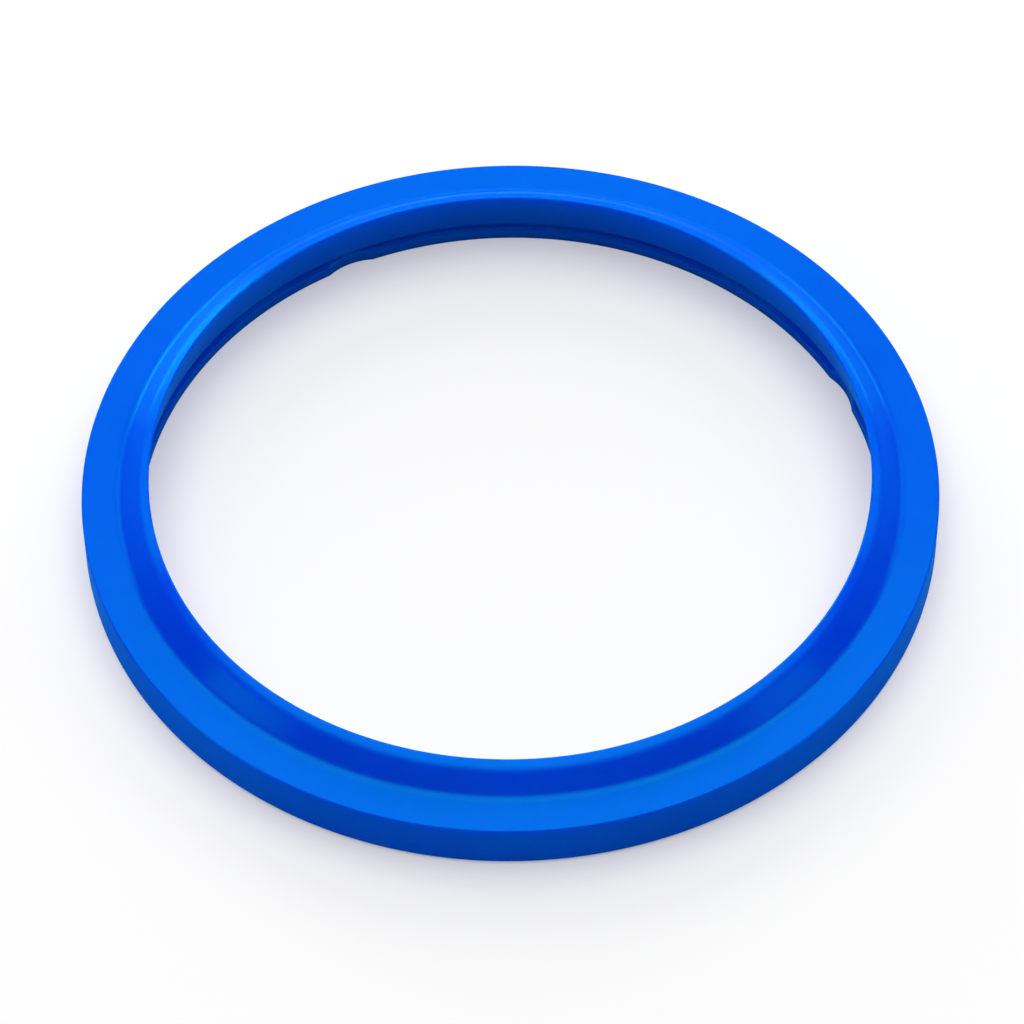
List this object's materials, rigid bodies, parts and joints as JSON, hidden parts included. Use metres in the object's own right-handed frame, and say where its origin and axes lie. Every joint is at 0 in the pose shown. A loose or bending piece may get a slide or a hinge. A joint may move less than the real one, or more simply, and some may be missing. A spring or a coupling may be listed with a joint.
{
  "type": "rod wiper seal",
  "caption": "Moulded polyurethane rod wiper ring with a flat shoulder, an inward-leaning wiping lip, an inner groove and a notched heel lip.",
  "frame": {"origin": "centre of the flat lower face, on the rod's axis", "axes": "+Z along the rod's axis, from the heel lip to the wiping lip; +X and +Y are two radial directions, with one relief notch 24 degrees from +X towards +Y"},
  "size_m": [0.08, 0.08, 0.0072],
  "materials": {
    "polyurethane": "satin"
  },
  "bodies": {
    "root": {"wiper_ring": "polyurethane"}
  },
  "joints": []
}
